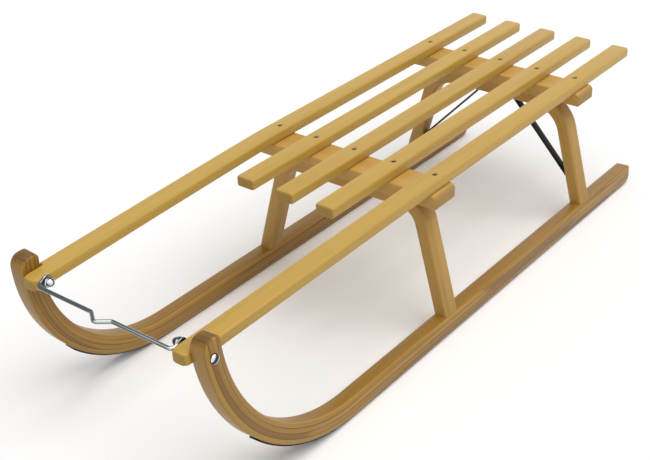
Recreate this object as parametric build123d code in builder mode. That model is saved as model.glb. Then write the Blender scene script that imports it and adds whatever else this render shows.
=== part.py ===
from build123d import *
import os
from math import atan2, cos, degrees, hypot, radians, sin, tan

# A wooden slatted sled, 110 cm long, standing on its two runners.
# Millimetres. +X is the sled's right hand side, +Y its tail, +Z up, and the floor is Z = 0.
# The origin is the middle of the sled's footprint. Left pieces are the mirror of right ones.

# Stations along the sled, measured from its tail
overall_length = 1116.0         # tail of the runners to the front of the tow bar's notch
wood_length = 1100.0            # tail to the front of the bends and the rails' noses
tail_y = overall_length / 2
rear_row_y = tail_y - 169.0     # middle of the rear trestle and its row of screws
trestle_spacing = 419.0
front_row_y = rear_row_y - trestle_spacing
nose_y = tail_y - wood_length

# Seat
seat_height = 254.0
slat_pitch = 71.0
slat_width = 31.0
slat_thickness = 15.0
slat_length = 750.0             # the three middle slats
slat_corner = 6.0               # plan radius at the slat ends
edge_round = 3.5                # rounded edges of slats and crossbars
edge_bevel = 2.0                # eased long edges of the bent pieces
seat_underside = seat_height - slat_thickness

# Side rails, straight on the trestles, then sprung down and in to the horns
nose_drop = 12.0                # the nose's top lies this far under the seat
nose_inset = 7.4                # the nose lies this far in from the rail's straight line
rebate_gap = 0.3                # rail's rebate to the runner's inner face
rebate_length = 33.0            # nose to the shoulder behind the horn
nose_corner = 7.0
spring_angle = 1.45             # degrees, how the rail leaves the front crossbar
spring_length = 30.0

# Countersunk seat screws
screw_head = 7.5
screw_recess = 1.2
screw_shank = 4.5
screw_length = 34.0

# Crossbars
crossbar_depth = 48.0
crossbar_height = 24.0
crossbar_half_length = 164.0
crossbar_end_taper = 4.0        # the ends lean in towards the top
crossbar_corner = 7.0           # plan radius at the ends
crossbar_underside = seat_underside - crossbar_height

# Bentwood bows, an inverted U under each crossbar
bow_depth = 27.0
bow_thickness = 21.0
bow_inner_radius = 60.0
leg_splay = 15.0                # degrees from upright
foot_x = 168.5                  # middle of the leg where it meets the runner
tenon_width = 11.0
tenon_depth = 16.0
tenon_length = 14.0

# Runners, bent laminated wood, leaning in at the top
runner_width = 24.5
runner_height = 29.5
runner_lean = 3.9               # degrees
runner_outer_x = 184.7          # middle of the sled to the outer lower edge of the wood
bend_angle = 90.0               # the horns stand upright
horn_rise = 8.0                 # horn's end over the seat
horn_round_front = 18.0
horn_round_back = 4.0
tail_round_top = 4.0
tail_round_low = 13.0

# Steel shoes under the runners
shoe_width = 18.0
shoe_thickness = 2.5
shoe_bend = 45.0                # degrees of the bend that the shoe covers
shoe_tail_gap = 22.0

# Rear braces, flat steel
brace_width = 14.0
brace_thickness = 3.0
brace_top_x = 36.0
brace_foot_z = 72.0
brace_flange = 16.0

# Tow bar and its bolts
rod_diameter = 6.5
bolt_setback = 15.0             # rail nose to bolt
bolt_rise = 1.5                 # bolt over the middle of the rail's thickness
span_lead = 15.5                # bolt axis to the bar's main span
lug_reach = 12.0                # flat lug's length along the span
notch_depth = 13.5
notch_half_width = 18.0
rod_bend_radius = 5.0
eye_diameter = 15.0
eye_thickness = 3.0
lug_width = 8.0
eye_gap = 0.7                   # rail's inner side to the eye
bolt_diameter = 7.0
bolt_head_diameter = 14.5
bolt_head_height = 4.0
bolt_head_rim = 1.5
cap_nut_flats = 12.0
cap_nut_height = 12.0

os.makedirs("parts", exist_ok=True)


def save(solid, name):
    """Label a finished piece and write its STEP file."""
    solid.label = name
    export_step(solid, f"parts/{name}.step")


def save_pair(solid, name):
    """Write the right hand piece and its mirror image as the left one."""
    twin = mirror(solid, about=Plane.YZ)
    save(solid, f"{name}_right")
    save(twin, f"{name}_left")


# Seat slats, the three middle ones: a moulded section, rounded in plan at both ends
slat_mid_y = tail_y - slat_length / 2
row_ys = (front_row_y, rear_row_y)
for slat_name, slat_x in (("slat_left", -slat_pitch), ("slat_middle", 0.0), ("slat_right", slat_pitch)):
    with BuildPart() as slat:
        with BuildSketch(Plane((slat_x, tail_y, seat_underside + slat_thickness / 2), (1, 0, 0), (0, -1, 0))):
            RectangleRounded(slat_width, slat_thickness, edge_round)
        extrude(amount=slat_length)
        with BuildSketch(Plane.XY.offset(seat_underside)):
            with Locations((slat_x, slat_mid_y)):
                RectangleRounded(slat_width, slat_length, slat_corner)
        extrude(amount=slat_thickness, mode=Mode.INTERSECT)
        with Locations(*[(slat_x, y, seat_height) for y in row_ys]):
            CounterSinkHole(screw_shank / 2, (screw_head + 2 * screw_recess) / 2, counter_sink_angle=90)
    save(slat.part, slat_name)

# Runner frame: u outward, v up the leaning side, from the inner lower edge of the wood
lean = radians(runner_lean)
runner_z = shoe_thickness * cos(lean) - (runner_width - shoe_width) / 2 * sin(lean)
runner_inner_x = runner_outer_x - runner_width * cos(lean)
bend_radius = (seat_height + horn_rise - runner_z) / cos(lean)
bend_start_y = nose_y + bend_radius
runner_side = Plane(
    origin=(runner_inner_x, 0, runner_z),
    x_dir=(0, 1, 0),
    z_dir=(cos(lean), 0, sin(lean)),
)


def inner_face_x(z):
    """Place of the runner's inner face at a height."""
    return runner_inner_x - (z - runner_z) * tan(lean)


def runner_curve(offset, angle):
    """Arc of the front bend, offset outward from the wood's lower face."""
    return JernArc((bend_start_y, -offset), (-1, 0), bend_radius + offset, -angle)


# Side rails: a straight run over the trestles, then two gentle bends to the nose
spring_start_y = front_row_y - crossbar_depth / 2
rail_x = 2 * slat_pitch
rail_middle_z = seat_height - slat_thickness / 2
nose_offset = hypot(nose_drop, nose_inset)
spring_roll = atan2(nose_inset, nose_drop)
sprung_length = spring_start_y - nose_y - spring_length
spring_rise = radians(spring_angle) * (sprung_length + spring_length / 2)
sprung_radius = sprung_length ** 2 / (2 * (nose_offset - spring_rise))


def rail_offset(y):
    """How far the sprung rail has left its straight line at a station."""
    reach = spring_start_y - y - spring_length
    return radians(spring_angle) * (reach + spring_length / 2) + reach ** 2 / (2 * sprung_radius)


bolt_y = nose_y + bolt_setback
bolt_z = rail_middle_z - rail_offset(bolt_y) * cos(spring_roll) + bolt_rise
rail_x_at_bolt = rail_x - rail_offset(bolt_y) * sin(spring_roll)
eye_x = rail_x_at_bolt - slat_width / 2 - eye_gap - eye_thickness / 2

rail_start = Plane(origin=(rail_x, tail_y, rail_middle_z), x_dir=(1, 0, 0), z_dir=(0, -1, 0))
with BuildPart() as side_rail:
    with BuildLine(Plane(
        origin=(rail_x, tail_y, rail_middle_z),
        x_dir=(0, -1, 0),
        z_dir=(cos(spring_roll), 0, -sin(spring_roll)),
    )) as rail_path:
        straight = Line((0, 0), (tail_y - spring_start_y, 0))
        leave = JernArc(straight @ 1, straight % 1, spring_length / radians(spring_angle), spring_angle)
        JernArc(leave @ 1, leave % 1, sprung_radius, degrees(sprung_length / sprung_radius))
    with BuildSketch(rail_start):
        Rectangle(slat_width, slat_thickness)
    sweep()
    with Locations(Location((inner_face_x(bolt_z) - rebate_gap, nose_y + rebate_length, bolt_z), (0, -runner_lean, 0))):
        Box(runner_width, 2 * rebate_length, 4 * slat_thickness, align=(Align.MIN, Align.MAX, Align.CENTER),
            mode=Mode.SUBTRACT)
    nose_edges = side_rail.faces().sort_by(Axis.Y)[0].edges()
    fillet(nose_edges.filter_by(lambda edge: abs(edge.tangent_at(0).Z) > 0.9), nose_corner)
    fillet(side_rail.edges().filter_by(Axis.Z).group_by(Axis.Y)[-1], slat_corner)
    with BuildSketch(rail_start):
        Rectangle(slat_width, slat_thickness)
        chamfer(vertices(), edge_bevel)
    sweep(path=rail_path.line, mode=Mode.INTERSECT)
    with Locations(*[(rail_x, y, seat_height) for y in row_ys]):
        CounterSinkHole(screw_shank / 2, (screw_head + 2 * screw_recess) / 2, counter_sink_angle=90)
    with Locations(Location((rail_x_at_bolt, bolt_y, bolt_z), (0, 90, 0))):
        Cylinder(bolt_diameter / 2, slat_width * 2, mode=Mode.SUBTRACT)
save_pair(side_rail.part, "side_rail")

# Crossbars, with ends that lean in and softened edges
for crossbar_name, row_y in (("front_crossbar", front_row_y), ("rear_crossbar", rear_row_y)):
    with BuildPart() as crossbar:
        with BuildSketch(Plane.XZ.offset(-row_y)):
            with BuildLine():
                Polyline(
                    (0, seat_underside),
                    (crossbar_half_length - crossbar_end_taper, seat_underside),
                    (crossbar_half_length, crossbar_underside),
                    (0, crossbar_underside),
                )
                mirror(about=Plane.YZ)
            make_face()
        extrude(amount=crossbar_depth / 2, both=True)
        fillet(crossbar.edges().filter_by(lambda edge: abs(edge.tangent_at(0).Z) > 0.9), crossbar_corner)
        for face in (0, -1):
            fillet(crossbar.faces().sort_by(Axis.Z)[face].edges(), edge_round)
        with Locations(*[(step * slat_pitch, row_y, seat_underside) for step in (-2, -1, 0, 1, 2)]):
            Hole(screw_shank / 2, depth=screw_length - slat_thickness)
    save(crossbar.part, crossbar_name)

# Bentwood bows: splayed legs, feet cut to the runners' tops, tenons into the runners
splay = radians(leg_splay)
foot_z = runner_z + runner_height / cos(lean) + (foot_x - runner_inner_x) * tan(lean)
half_across = bow_thickness / 2 / cos(splay)


def leg_x(z, across):
    """Place of a leg's face at a height: across is -1 inside, 0 middle, 1 outside."""
    return foot_x + across * half_across - (z - foot_z) * tan(splay)


def foot_point(across):
    """Where a leg's face meets the leaning top of the runner."""
    x_level = foot_x + across * half_across
    drop = (x_level - foot_x) * tan(lean) / (1 + tan(splay) * tan(lean))
    return x_level - drop * tan(splay), foot_z + drop


bow_top = crossbar_underside
bow_bottom = bow_top - bow_thickness
for bow_name, row_y in (("front_bow", front_row_y), ("rear_bow", rear_row_y)):
    with BuildPart() as bow:
        with BuildSketch(Plane.XZ.offset(-row_y)):
            with BuildLine():
                FilletPolyline((0, bow_top), (leg_x(bow_top, 1), bow_top), foot_point(1),
                               radius=bow_inner_radius + bow_thickness)
                Line(foot_point(1), foot_point(-1))
                FilletPolyline(foot_point(-1), (leg_x(bow_bottom, -1), bow_bottom), (0, bow_bottom),
                               radius=bow_inner_radius)
                mirror(about=Plane.YZ)
            make_face()
        extrude(amount=bow_depth / 2, both=True)
        long_edges = bow.faces().filter_by(Axis.Y).edges() - bow.faces().sort_by(Axis.Z)[:2].edges()
        chamfer(long_edges, edge_bevel)
        for side in (1, -1):
            with Locations(Location((side * foot_x, row_y, foot_z), (0, -side * leg_splay, 0))):
                Box(tenon_width, tenon_depth, 2 * tenon_length)
    save(bow.part, bow_name)

# Runners: straight on the snow, bent up to the horns, each with a seat for its bolt's head
head_x = inner_face_x(bolt_z) + runner_width / cos(lean)
with BuildPart() as runner:
    with BuildSketch(runner_side):
        with BuildLine():
            lower = runner_curve(0, bend_angle)
            upper = runner_curve(-runner_height, bend_angle)
            Line(lower @ 1, upper @ 1)
            Polyline(lower @ 0, (tail_y, 0), (tail_y, runner_height), upper @ 0)
        make_face()
        fillet(vertices().group_by(Axis.X)[-1].sort_by(Axis.Y)[0], tail_round_low)
        fillet(vertices().group_by(Axis.X)[-1].sort_by(Axis.Y)[-1], tail_round_top)
        fillet(vertices().group_by(Axis.Y)[-1].sort_by(Axis.X)[0], horn_round_front)
        fillet(vertices().group_by(Axis.Y)[-1].sort_by(Axis.X)[-1], horn_round_back)
    extrude(amount=runner_width)
    chamfer(runner.faces().filter_by(lambda face: abs(face.normal_at().X) > 0.9).edges(), edge_bevel)
    for row_y in row_ys:
        with Locations(Location((foot_x, row_y, foot_z), (0, -leg_splay, 0))):
            Box(tenon_width, tenon_depth, 2 * tenon_length, mode=Mode.SUBTRACT)
    with Locations(Location((runner_inner_x, bolt_y, bolt_z), (0, 90, 0))):
        Cylinder(bolt_diameter / 2, runner_width * 4, mode=Mode.SUBTRACT)
    with Locations(Location((head_x, bolt_y, bolt_z), (0, 90, 0))):
        Cylinder(bolt_head_diameter / 2, bolt_head_height, align=(Align.CENTER, Align.CENTER, Align.MIN),
                 mode=Mode.SUBTRACT)
save_pair(runner.part, "runner")

# Shoes: flat steel under the runners and up the front bend
shoe_inset = (runner_width - shoe_width) / 2
with BuildPart() as shoe:
    with BuildSketch(runner_side.offset(shoe_inset)):
        with BuildLine():
            upper = runner_curve(0, shoe_bend)
            lower = runner_curve(shoe_thickness, shoe_bend)
            Line(upper @ 1, lower @ 1)
            shoe_end_y = tail_y - shoe_tail_gap
            Polyline(upper @ 0, (shoe_end_y, 0), (shoe_end_y, -shoe_thickness), lower @ 0)
        make_face()
    extrude(amount=shoe_width)
save_pair(shoe.part, "shoe")

# Rear braces: flat steel from under the bow to the legs
leg_inner_x = leg_x(brace_foot_z, -1) - brace_thickness / 2 / cos(splay)
with BuildPart() as brace:
    with BuildSketch(Plane.XZ.offset(-rear_row_y)):
        with BuildLine() as brace_line:
            FilletPolyline(
                (brace_top_x - brace_flange, bow_bottom - brace_thickness / 2),
                (brace_top_x, bow_bottom - brace_thickness / 2),
                (leg_inner_x, brace_foot_z),
                (leg_inner_x + brace_flange * sin(splay), brace_foot_z - brace_flange * cos(splay)),
                radius=2 * brace_thickness,
            )
        trace(brace_line.edges(), brace_thickness)
    extrude(amount=brace_width / 2, both=True)
save_pair(brace.part, "brace")

# Tow bar: a round rod with a rope notch in the middle, its ends flattened and bent back to the bolts
span_y = bolt_y - span_lead
rod_end_x = eye_x - lug_reach
with BuildPart() as tow_bar:
    with BuildLine(Plane.XY.offset(bolt_z)) as bar_path:
        FilletPolyline(
            (rod_end_x, span_y), (notch_half_width, span_y), (0, span_y - notch_depth),
            (-notch_half_width, span_y), (-rod_end_x, span_y),
            radius=rod_bend_radius,
        )
    with BuildSketch(Plane(bar_path.line @ 0, z_dir=bar_path.line % 0)):
        Circle(rod_diameter / 2)
    sweep()
    with BuildSketch(Plane.XY.offset(bolt_z)):
        with BuildLine() as lug_line:
            FilletPolyline((eye_x, bolt_y), (eye_x, span_y), (rod_end_x - lug_width, span_y), radius=rod_bend_radius)
        trace(lug_line.edges(), eye_thickness)
        mirror(about=Plane.YZ)
    extrude(amount=lug_width / 2, both=True)
    with Locations(*[Location((side * eye_x, bolt_y, bolt_z), (0, 90, 0)) for side in (-1, 1)]):
        Cylinder(eye_diameter / 2, eye_thickness)
        Cylinder(bolt_diameter / 2, eye_thickness, mode=Mode.SUBTRACT)
save(tow_bar.part, "tow_bar")

# Tow bar bolts: broad head on the runner's outer face, cap nut on the bar's eye
nut_x = eye_x - eye_thickness / 2
nut_end = nut_x - cap_nut_height / 2 - head_x
with BuildPart() as tow_bolt:
    with BuildSketch(Plane(origin=(head_x, bolt_y, bolt_z), x_dir=(1, 0, 0), z_dir=(0, -1, 0))):
        with BuildLine():
            Polyline(
                (nut_end, 0), (nut_end, bolt_diameter / 2), (0, bolt_diameter / 2), (0, bolt_head_diameter / 2),
                (bolt_head_rim, bolt_head_diameter / 2), (bolt_head_height, bolt_diameter / 2),
                (bolt_head_height, 0), (nut_end, 0),
            )
        make_face()
    revolve(axis=Axis((head_x, bolt_y, bolt_z), (1, 0, 0)))
save_pair(tow_bolt.part, "tow_bolt")

with BuildPart() as cap_nut:
    with BuildSketch(Plane(origin=(nut_x, bolt_y, bolt_z), z_dir=(-1, 0, 0))):
        RegularPolygon(cap_nut_flats / 2, 6, major_radius=False)
    extrude(amount=cap_nut_height / 2)
    with Locations(Location((nut_x - cap_nut_height / 2, bolt_y, bolt_z), (0, -90, 0))):
        Cone(cap_nut_flats / 2, cap_nut_flats / 4, cap_nut_height / 2, align=(Align.CENTER, Align.CENTER, Align.MIN))
    with Locations(Location((nut_x - cap_nut_height / 4, bolt_y, bolt_z), (0, 90, 0))):
        Cylinder(bolt_diameter / 2, cap_nut_height / 2, mode=Mode.SUBTRACT)
save_pair(cap_nut.part, "cap_nut")

# Seat screws, ten in two rows
for screw_name, row_y in (("front_seat_screws", front_row_y), ("rear_seat_screws", rear_row_y)):
    with BuildPart() as seat_screws:
        with Locations(*[(step * slat_pitch, row_y, seat_height - screw_recess) for step in (-2, -1, 0, 1, 2)]):
            Cylinder(screw_shank / 2, screw_length - screw_recess, align=(Align.CENTER, Align.CENTER, Align.MAX))
            Cone(screw_shank / 2, screw_head / 2, (screw_head - screw_shank) / 2,
                 align=(Align.CENTER, Align.CENTER, Align.MAX))
    save(seat_screws.part, screw_name)
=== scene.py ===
"""A slatted wooden sled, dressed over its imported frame.

Bent laminated runners, bentwood bows, lacquered slats, blackened steel shoes and braces, and a
bright tow bar. All lengths are in metres. +X is the sled's right, +Y its tail, +Z up.
"""

from __future__ import annotations

import logging
import math
from collections.abc import Iterable, Iterator
from dataclasses import dataclass, replace
from enum import Enum, IntEnum
from functools import cache
from typing import ClassVar, NamedTuple

import bmesh
import bpy
from mathutils import Matrix, Vector

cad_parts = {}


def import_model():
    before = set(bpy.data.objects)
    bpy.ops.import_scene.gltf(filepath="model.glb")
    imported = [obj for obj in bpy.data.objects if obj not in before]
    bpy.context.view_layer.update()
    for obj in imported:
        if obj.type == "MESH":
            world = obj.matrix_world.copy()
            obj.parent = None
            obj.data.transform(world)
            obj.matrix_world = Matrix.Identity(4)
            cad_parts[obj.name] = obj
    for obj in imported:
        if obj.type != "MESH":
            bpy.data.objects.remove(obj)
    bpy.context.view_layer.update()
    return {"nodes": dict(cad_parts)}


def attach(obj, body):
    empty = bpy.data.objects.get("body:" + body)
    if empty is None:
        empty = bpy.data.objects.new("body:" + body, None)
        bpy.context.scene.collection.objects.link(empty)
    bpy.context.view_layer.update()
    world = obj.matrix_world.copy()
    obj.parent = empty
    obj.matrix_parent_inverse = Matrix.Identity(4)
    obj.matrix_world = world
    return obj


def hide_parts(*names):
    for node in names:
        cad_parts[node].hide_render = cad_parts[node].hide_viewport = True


Pair = tuple[float, float]
Triple = tuple[float, float, float]
Inputs = dict[str | int, object]
Socket = bpy.types.NodeSocket
Mesh = bmesh.types.BMesh
Edges = list[bmesh.types.BMEdge]
Piece = bpy.types.Object

LOG = logging.getLogger("sled")
BODY = "root"
TINY = 1e-6
SHARP_ANGLE = math.radians(38.0)
QUARTER = math.pi / 2
WHITE = (1.0, 1.0, 1.0, 1.0)

# How nearly an edge runs one way, or a face looks one way, to be picked.
STRAIGHT = 0.9
FLAT = 0.99

# How far a surface faces along the board where end grain begins, and how fast it grows.
END_GRAIN_START = 0.4
END_GRAIN_SPREAD = 0.35

# A screw seat's square is cut this often along each edge, and first inset by this share.
SEAT_CUTS = 5
SEAT_INSET = 0.2

# Stations that several sub-assemblies share.
TAIL_Y = 0.558
FRONT_ROW = -0.03
REAR_ROW = 0.389
SEAT_TOP = 0.254
PITCH = 0.071
LEAN = math.radians(3.9)


class Side(Enum):
    """The two sides of the sled, with the sign of their X."""

    LEFT = -1
    RIGHT = 1

    @property
    def word(self) -> str:
        """The side's name as the nodes spell it."""
        return self.name.lower()


class Axis(IntEnum):
    """The three directions of a straight board."""

    ACROSS = 0
    ALONG = 1
    THROUGH = 2


class SocketKind(Enum):
    """What a socket of a node group carries."""

    COLOUR = "NodeSocketColor"
    NUMBER = "NodeSocketFloat"
    PLACE = "NodeSocketVector"


class Patches(NamedTuple):
    """Soft patches cut from noise: its scale and detail, and the values that become 0 and 1."""

    scale: float
    detail: float
    low: float
    high: float


class NodeSheet:
    """A node tree with short helpers to add nodes and wire them."""

    def __init__(self, tree: bpy.types.NodeTree) -> None:
        """Keep the shader tree that the helpers write to."""
        self.tree = tree

    def feed(self, node: bpy.types.Node, inputs: Inputs) -> None:
        """Feed some inputs of a node.

        Args:
            node: the node.
            inputs: a socket to wire or a constant to set, by the input's name or number.
        """
        for key, value in inputs.items():
            if isinstance(value, Socket):
                self.tree.links.new(value, node.inputs[key])
            else:
                node.inputs[key].default_value = value

    def add(self, kind: str, inputs: Inputs, **settings: object) -> bpy.types.Node:
        """Add a node, set its properties and feed its inputs.

        Args:
            kind: the node's type without its first word, such as Math.
            inputs: what feeds it, as in feed.
            settings: its properties by name.

        Returns:
            The new node.
        """
        node = self.tree.nodes.new(f"ShaderNode{kind}")
        for name, value in settings.items():
            setattr(node, name, value)
        self.feed(node, inputs)
        return node

    def math(self, operation: str, first: object, *others: object) -> Socket:
        """Work out one number from one value, or from several taken from left to right.

        Args:
            operation: the Math node's operation.
            first: a socket or a number.
            others: more of them.

        Returns:
            The result's socket.
        """
        for other in others or (0.0,):
            first = self.add("Math", {0: first, 1: other}, operation=operation).outputs[0]
        return first

    def times(self, first: object, *others: object) -> Socket:
        """Multiply numbers."""
        return self.math("MULTIPLY", first, *others)

    def plus(self, first: object, *others: object) -> Socket:
        """Add numbers."""
        return self.math("ADD", first, *others)

    def vector(self, operation: str, first: object, second: object) -> Socket:
        """Work out one vector from two."""
        return self.add("VectorMath", {0: first, 1: second}, operation=operation).outputs[0]

    def split(self, place: Socket) -> bpy.types.NodeOutputs:
        """The three numbers of a vector."""
        return self.add("SeparateXYZ", {0: place}).outputs

    def noise(self, place: Socket, scale: float, detail: float) -> Socket:
        """Smooth noise between 0 and 1."""
        inputs = {"Vector": place, "Scale": scale, "Detail": detail}
        return self.add("TexNoise", inputs).outputs["Fac"]

    def ramp(
        self, value: Socket, low: float, high: float, bottom: float = 0.0, top: float = 1.0,
    ) -> Socket:
        """Map low and high smoothly to bottom and top, and hold the result at both ends."""
        given = {"Value": value, "From Min": low, "From Max": high, "To Min": bottom, "To Max": top}
        return self.add("MapRange", given, interpolation_type="SMOOTHSTEP").outputs["Result"]

    def patches(self, place: Socket, cut: Patches, bottom: float = 0.0) -> Socket:
        """A soft mask from bottom to 1, cut from noise."""
        return self.ramp(self.noise(place, cut.scale, cut.detail), cut.low, cut.high, bottom)

    def mix(self, share: object, first: object, second: object, blend: str = "MIX") -> Socket:
        """Mix a share of the second colour into the first one."""
        inputs = {0: share, 6: first, 7: second}
        return self.add("Mix", inputs, data_type="RGBA", blend_type=blend).outputs[2]

    def bump(self, height: Socket, strength: float, distance: float) -> Socket:
        """A normal that follows a fine relief."""
        inputs = {"Height": height, "Strength": strength, "Distance": distance}
        return self.add("Bump", inputs).outputs["Normal"]


class Effect:
    """A surface effect that several finishes share, as one node group."""

    name: ClassVar[str]
    inputs: ClassVar[dict[str, SocketKind]]
    outputs: ClassVar[dict[str, SocketKind]] = {
        "Color": SocketKind.COLOUR, "Roughness": SocketKind.NUMBER, "Height": SocketKind.NUMBER,
    }

    @cache
    def tree(self) -> bpy.types.NodeTree:
        """Build the group once, with its named inputs and outputs.

        Returns:
            The group's tree.
        """
        group = bpy.data.node_groups.new(self.name, "ShaderNodeTree")
        for direction, sockets in (("INPUT", self.inputs), ("OUTPUT", self.outputs)):
            for name, kind in sockets.items():
                group.interface.new_socket(name, in_out=direction, socket_type=kind.value)
        sheet = NodeSheet(group)
        given = group.nodes.new("NodeGroupInput").outputs
        sheet.feed(group.nodes.new("NodeGroupOutput"), self.draw(sheet, given))
        return group

    def draw(self, sheet: NodeSheet, given: bpy.types.NodeOutputs) -> Inputs:
        """Wire the effect, and say what feeds each of the group's outputs."""
        raise NotImplementedError

    def place_in(self, sheet: NodeSheet, inputs: Inputs) -> bpy.types.NodeOutputs:
        """Place the group in a material with that material's own values."""
        return sheet.add("Group", inputs, node_tree=self.tree()).outputs


@dataclass(frozen=True)
class TimberFigure(Effect):
    """Figure of close-grained pale timber: growth rings, streaks, fibres and ray flecks."""

    name: ClassVar[str] = "timber_figure"
    inputs: ClassVar[dict[str, SocketKind]] = {
        "Place": SocketKind.PLACE, "Pale": SocketKind.COLOUR, "Deep": SocketKind.COLOUR,
        "End Tone": SocketKind.COLOUR, "Ring Strength": SocketKind.NUMBER,
        "End Grain": SocketKind.NUMBER,
    }
    # How much shorter a pattern is along the grain: rings and streaks, fibres, flecks.
    draws: Triple = (0.045, 0.02, 0.16)
    heart: Triple = (0.011, 0.0, 0.058)
    rings_per_metre: float = 260.0
    wander: float = 5.0
    wander_scale: float = 22.0
    late_start: Pair = (0.35, 0.93)
    late_end: Pair = (1.0, 0.94)
    streaks: Patches = Patches(85.0, 3.0, 0.35, 0.7)
    streak_share: float = 0.26
    clouds: Patches = Patches(14.0, 1.0, 0.3, 0.72)
    cloud_share: float = 0.26
    fibre_scale: float = 900.0
    fibre_cut: Pair = (0.3, 0.75)
    fibre_share: float = 0.12
    fleck_scale: float = 620.0
    fleck_cut: Pair = (0.34, 0.12)
    fleck_spread: Patches = Patches(310.0, 1.0, 0.5, 0.62)
    fleck_share: float = 0.22
    fleck_tone: tuple[float, ...] = (0.23, 0.12, 0.045, 1.0)
    roughness: float = 0.36
    fibre_roughness: float = 0.12
    end_roughness: float = 0.2
    fibre_height: float = 0.5
    fleck_depth: float = 0.4

    def draw(self, sheet: NodeSheet, given: bpy.types.NodeOutputs) -> Inputs:
        """Wire the figure.

        Args:
            sheet: the group's node sheet.
            given: the group's inputs.

        Returns:
            What feeds each of the group's outputs.
        """
        drawn, fibre_place, fleck_place = (
            sheet.vector("MULTIPLY", given["Place"], (1.0, draw, 1.0)) for draw in self.draws
        )
        wander = sheet.times(sheet.noise(drawn, self.wander_scale, 2.0), self.wander)
        off_heart = sheet.split(sheet.vector("ADD", drawn, self.heart))
        squares = [sheet.times(off_heart[axis], off_heart[axis]) for axis in (0, 2)]
        heart = sheet.math("SQRT", sheet.plus(*squares))
        ring = sheet.math("FRACT", sheet.plus(sheet.times(heart, self.rings_per_metre), wander))
        late = sheet.times(
            sheet.ramp(ring, *self.late_start), sheet.ramp(ring, *self.late_end),
            given["Ring Strength"],
        )
        fibres = sheet.noise(fibre_place, self.fibre_scale, 2.0)
        cells = sheet.add(
            "TexVoronoi", {"Vector": fleck_place, "Scale": self.fleck_scale}, feature="F1",
        )
        fleck = sheet.times(
            sheet.ramp(cells.outputs["Distance"], *self.fleck_cut),
            sheet.patches(fleck_place, self.fleck_spread),
        )
        depth = sheet.plus(
            late,
            sheet.times(sheet.patches(drawn, self.streaks), self.streak_share),
            sheet.times(sheet.patches(drawn, self.clouds), self.cloud_share),
            sheet.times(sheet.ramp(fibres, *self.fibre_cut), self.fibre_share),
        )
        tone = sheet.mix(depth, given["Pale"], given["Deep"])
        tone = sheet.mix(sheet.times(fleck, self.fleck_share), tone, self.fleck_tone)
        return {
            "Color": sheet.mix(given["End Grain"], tone, given["End Tone"], "MULTIPLY"),
            "Roughness": sheet.plus(
                self.roughness, sheet.times(fibres, self.fibre_roughness),
                sheet.times(given["End Grain"], self.end_roughness),
            ),
            "Height": sheet.math(
                "SUBTRACT", sheet.times(fibres, self.fibre_height),
                sheet.times(fleck, self.fleck_depth),
            ),
        }


@dataclass(frozen=True)
class MetalScuffs(Effect):
    """Uneven tone and fine scratches of handled metal."""

    name: ClassVar[str] = "metal_scuffs"
    inputs: ClassVar[dict[str, SocketKind]] = {
        "Place": SocketKind.PLACE, "Fresh": SocketKind.COLOUR, "Worn": SocketKind.COLOUR,
        "Base Roughness": SocketKind.NUMBER, "Wear": SocketKind.NUMBER,
    }
    blotches: Patches = Patches(120.0, 4.0, 0.42, 0.72)
    blotch_share: float = 0.6
    blotch_roughness: float = 0.12
    scratches: Patches = Patches(900.0, 3.0, 0.56, 0.74)
    scratch_draw: Triple = (1.0, 0.12, 0.35)
    scratch_share: float = 0.5

    def draw(self, sheet: NodeSheet, given: bpy.types.NodeOutputs) -> Inputs:
        """Wire the scuffs.

        Args:
            sheet: the group's node sheet.
            given: the group's inputs.

        Returns:
            What feeds each of the group's outputs.
        """
        blotches = sheet.patches(given["Place"], self.blotches)
        scratch_place = sheet.vector("MULTIPLY", given["Place"], self.scratch_draw)
        scratches = sheet.patches(scratch_place, self.scratches)
        marks = sheet.plus(
            sheet.times(blotches, self.blotch_share), sheet.times(scratches, self.scratch_share),
        )
        worn = sheet.times(marks, given["Wear"])
        rough = sheet.times(blotches, self.blotch_roughness)
        return {
            "Color": sheet.mix(worn, given["Fresh"], given["Worn"]),
            "Roughness": sheet.plus(given["Base Roughness"], rough),
            "Height": scratches,
        }


@dataclass(frozen=True)
class Finish:
    """What every finish has: a name, and a material that is built once."""

    name: str

    @cache
    def material(self) -> bpy.types.Material:
        """Build the material once.

        Returns:
            The finished material.
        """
        material = bpy.data.materials.new(self.name)
        material.use_nodes = True
        sheet = NodeSheet(material.node_tree)
        sheet.feed(material.node_tree.nodes["Principled BSDF"], self.draw(sheet))
        return material

    def draw(self, sheet: NodeSheet) -> Inputs:
        """Wire the finish, and say what feeds each of the shader's inputs."""
        raise NotImplementedError


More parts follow.
